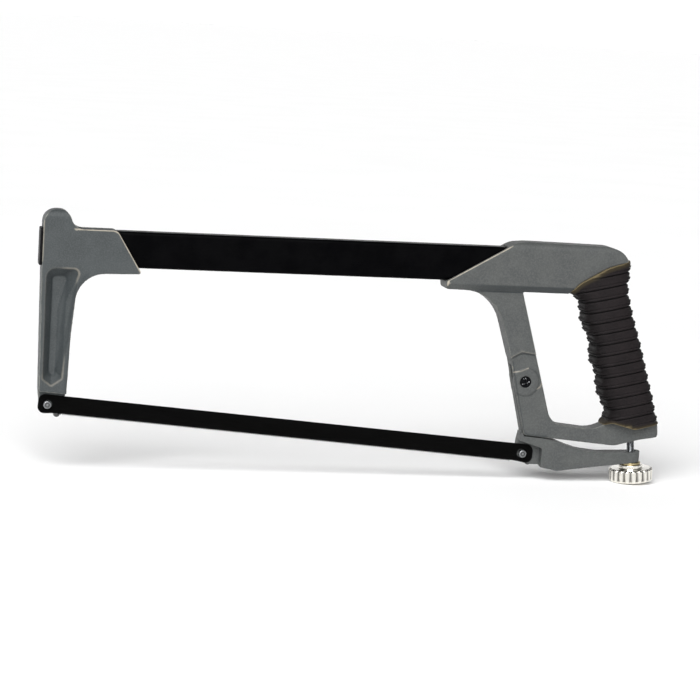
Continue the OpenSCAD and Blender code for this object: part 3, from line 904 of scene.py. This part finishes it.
knob_profile = [
    (KNOB_BORE, DISC_FOOT + 1.4), (5.5, DISC_FOOT + 1.4), (5.5, DISC_FOOT + 0.2),
    (5.7, DISC_FOOT), (FLUTE_FROM, DISC_FOOT),
    *arc((KNOB_R - 0.3 - KNOB_EDGE, DISC_FOOT + KNOB_EDGE), KNOB_EDGE, -90, 0, 7),
    (KNOB_R - 0.1, (DISC_FOOT + DISC_TOP) / 2),
    *arc((KNOB_R - KNOB_EDGE, DISC_TOP - KNOB_EDGE), KNOB_EDGE, 0, 90, 7),
    (FLUTE_FROM, DISC_TOP), (7.8, DISC_TOP + 0.1), (7.5, DISC_TOP + 0.35),
    *arc((7.1, KNOB_TOP - 0.45), 0.4, 0, 90), (KNOB_BORE, KNOB_TOP - 0.05),
    (KNOB_BORE, DISC_FOOT + 1.4)]
knob = lathe("knob_fluted", knob_profile, STUD_FOOT, STUD_AXIS, 240, fluted)
height, reach = from_axis(knob, STUD_FOOT, STUD_AXIS)
# Painted shade in the troughs of the flutes.
sides = (reach > 10) * (height < DISC_TOP - 0.5) * (height > DISC_FOOT + 0.9)
per_vertex(knob, "hollow_shade", 0.75 * sides * ease_between(KNOB_R - reach, 0.45, 0.95))
piece("knob_fluted", knob, "knob", "nickel", ["tension_knob"], crease=40)

# These CAD nodes have the right shape already, and only get a material
for name, slot in (("knob_insert", "brass"), ("stud_nut", "zinc_steel"), ("lever_bush", "brass"),
                   ("front_lock_pin", "spring_steel"), ("handle_lock_pin", "spring_steel")):
    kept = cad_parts[name]
    kept.material_slots[0].material = LOOKS[slot]


# ------------------------------------------------- floor, light and camera

FLOOR_RINGS = (0.4, 1.2, 4, 14, 40)      # metres
FLOOR_GAP = 0.3


def stage_floor():
    """A wide round sheet just under the knob."""
    bm = bmesh.new()
    hub = bm.verts.new((0, 0, 0))
    rings = []
    for reach in FLOOR_RINGS:
        spin = [2 * pi * k / 64 for k in range(64)]
        rings.append([bm.verts.new((reach * cos(a), reach * sin(a), 0)) for a in spin])
    for k in range(64):
        bm.faces.new((hub, rings[0][k - 1], rings[0][k]))
        for low, high in zip(rings, rings[1:]):
            bm.faces.new((low[k], low[k - 1], high[k - 1], high[k]))
    floor = bpy.data.objects.new("floor", to_mesh(bm, "floor"))
    floor.data.materials.append(floor_look())
    floor.location.z = cad_box[0].z - FLOOR_GAP * MM
    bpy.context.scene.collection.objects.link(floor)


def lamp(name, kind, place, shining, **settings):
    """A light at a place, shining along a direction."""
    data = bpy.data.lights.new(name, kind)
    for key, value in settings.items():
        setattr(data, key, value)
    made = bpy.data.objects.new(name, data)
    made.location = place
    made.rotation_euler = shining.to_track_quat("-Z", "Y").to_euler()
    bpy.context.scene.collection.objects.link(made)


stage_floor()
FRONT_LIGHT = Vector((-0.75, -2.0, 0.75))
MIDDLE = Vector((0, 0, 0.08))
SUNSHINE = Vector((0.36, 0.78, -0.78))
lamp("front", "AREA", FRONT_LIGHT, MIDDLE - FRONT_LIGHT, shape="RECTANGLE", size=1.0, size_y=0.8,
     energy=5)
lamp("overhead", "SUN", (0, 0, 0), SUNSHINE, energy=3.7, angle=radians(50))


def studio_world():
    """White ahead and behind, dimmer overhead and at the two sides, so that edges stand out."""
    world = bpy.data.worlds.new("studio")
    world.use_nodes = True
    tree = world.node_tree

    def faded(value, from_min, from_max, to_min, to_max):
        made = tree.nodes.new("ShaderNodeMapRange")
        made.interpolation_type = "SMOOTHSTEP"
        tree.links.new(value, made.inputs["Value"])
        for key, number in (("From Min", from_min), ("From Max", from_max), ("To Min", to_min),
                            ("To Max", to_max)):
            made.inputs[key].default_value = number
        return made.outputs[0]

    def product(first, second):
        made = tree.nodes.new("ShaderNodeMath")
        made.operation = "MULTIPLY"
        tree.links.new(first, made.inputs[0])
        tree.links.new(second, made.inputs[1])
        return made.outputs[0]

    split = tree.nodes.new("ShaderNodeSeparateXYZ")
    where = tree.nodes.new("ShaderNodeTexCoord").outputs["Generated"]
    tree.links.new(where, split.inputs[0])
    ahead = product(split.outputs["Y"], split.outputs["Y"])     # 0 at the two sides
    # Dimming starts and ends at the first two numbers of each, between strengths of the last two
    strength = product(faded(split.outputs["Z"], 0.10, 0.55, 1.06, 0.34),
                       faded(ahead, 0.04, 0.5, 0.3, 1))
    background = tree.nodes["Background"]
    tree.links.new(strength, background.inputs["Strength"])
    background.inputs["Color"].default_value = (1, 1, 1, 1)
    bpy.context.scene.world = world


studio_world()
bpy.context.scene.view_settings.view_transform = "Standard"

# The photograph's camera: turned, tipped and rolled about the point that it looks at
TURN, TIP, ROLL = radians(12), radians(8), radians(3.5)
AIM = Vector((-0.00475, 0, 0.079))
DISTANCE, SENSOR = 1.465, 36     # metres and millimetres
FOCAL = 2371 / 700               # focal length in picture widths
forward = Vector((sin(TURN) * cos(TIP), cos(TURN) * cos(TIP), -sin(TIP)))
level = Vector((cos(TURN), -sin(TURN), 0))
upright = Vector((sin(TURN) * sin(TIP), cos(TURN) * sin(TIP), cos(TIP)))
right = level * cos(ROLL) + upright * sin(ROLL)
up = upright * cos(ROLL) - level * sin(ROLL)
lens = bpy.data.cameras.new("camera")
lens.sensor_width = SENSOR
lens.lens = FOCAL * SENSOR
camera = bpy.data.objects.new("camera", lens)
facing = Matrix((right, up, -forward)).transposed().to_4x4()
camera.matrix_world = Matrix.Translation(AIM - forward * DISTANCE) @ facing
bpy.context.scene.collection.objects.link(camera)
bpy.context.scene.camera = camera
